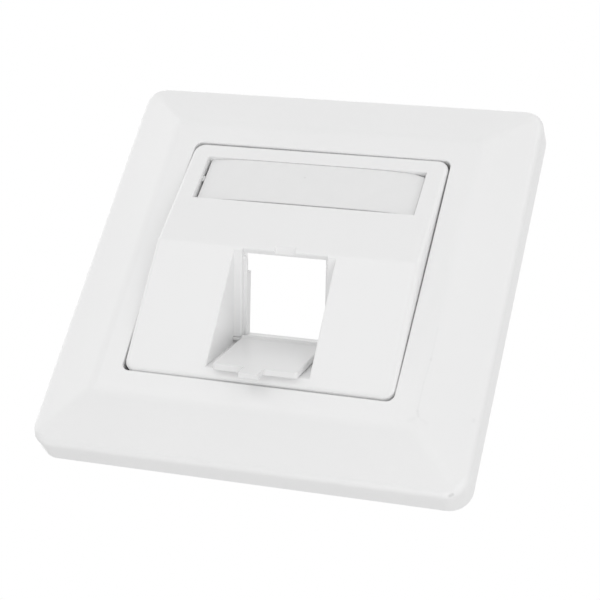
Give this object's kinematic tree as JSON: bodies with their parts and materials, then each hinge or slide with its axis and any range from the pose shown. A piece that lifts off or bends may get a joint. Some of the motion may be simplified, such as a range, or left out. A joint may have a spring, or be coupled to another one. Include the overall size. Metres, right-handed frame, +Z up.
{
  "type": "ethernet wall socket",
  "caption": "Square white wall outlet: bevelled cover frame round a ridged centre plate with a label window and a slanted data port under a hinged dust shutter.",
  "frame": {"origin": "middle of the outlet on the wall plane, between the screw slots of the support frame", "axes": "+X to the right seen from the room, +Y into the wall, +Z up"},
  "size_m": [0.08, 0.0155, 0.08],
  "materials": {
    "frame_plastic": "satin white moulding",
    "plate_plastic": "satin white moulding",
    "shutter_plastic": "gloss white moulding",
    "label_clear": "frosted clear strip",
    "label_paper": "blank white card",
    "sheet_steel": "zinc-plated pressed sheet"
  },
  "bodies": {
    "wall_plate": {"outer_frame": "frame_plastic", "centre_plate": "plate_plastic", "label_window": "label_clear", "label_card": "label_paper", "support_frame": "sheet_steel"},
    "shutter": {"dust_shutter": "shutter_plastic"}
  },
  "joints": [
    {"name": "shutter_hinge", "type": "hinge", "parent": "wall_plate", "child": "shutter", "pos_m": [0, -0.00034, -0.01196], "axis": [-1, 0, 0], "range_deg": [0, 93]}
  ]
}
